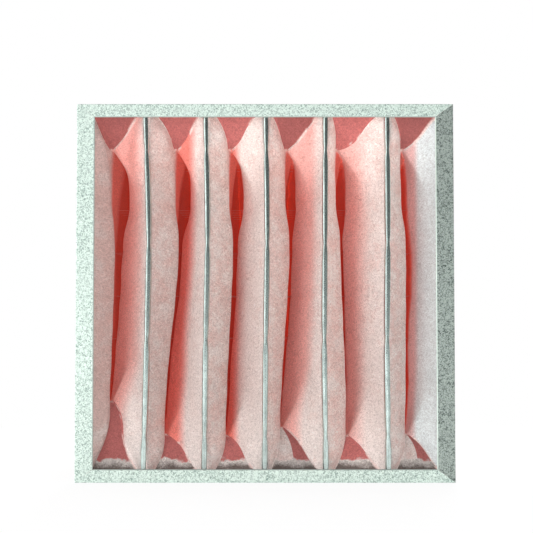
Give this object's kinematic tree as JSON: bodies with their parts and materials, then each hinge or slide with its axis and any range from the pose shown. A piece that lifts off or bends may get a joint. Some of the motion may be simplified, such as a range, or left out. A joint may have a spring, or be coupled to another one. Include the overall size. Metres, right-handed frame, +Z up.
{
  "type": "bag air filter",
  "caption": "Square pocket air filter: a folded galvanised steel header with crimped upright dividers and deep pink non-woven bags sewn shut at the back.",
  "frame": {"origin": "under the middle of the whole part, level with the underside of the bottom rail", "axes": "+X across the header to the right as the air sees it, +Y back along the pockets in the direction of the air, +Z up along the dividers"},
  "size_m": [0.5966, 0.4572, 0.594],
  "materials": {
    "header_steel": "galvanised, fine grey-green spangle",
    "divider_steel": "galvanised, roll-formed and bright along the nose",
    "filter_media": "soft non-woven fibre, pale pink",
    "rivet": "bright"
  },
  "bodies": {
    "root": {"rail_left": "header_steel", "rail_right": "header_steel", "rail_bottom": "header_steel", "rail_top": "header_steel", "divider_1": "divider_steel", "divider_2": "divider_steel", "divider_3": "divider_steel", "divider_4": "divider_steel", "divider_5": "divider_steel", "end_retainer_left": "divider_steel", "end_retainer_right": "divider_steel", "pocket_1": "filter_media", "pocket_2": "filter_media", "pocket_3": "filter_media", "pocket_4": "filter_media", "pocket_5": "filter_media", "pocket_6": "filter_media", "corner_rivet_1": "rivet", "corner_rivet_2": "rivet", "corner_rivet_3": "rivet", "corner_rivet_4": "rivet"}
  },
  "joints": []
}
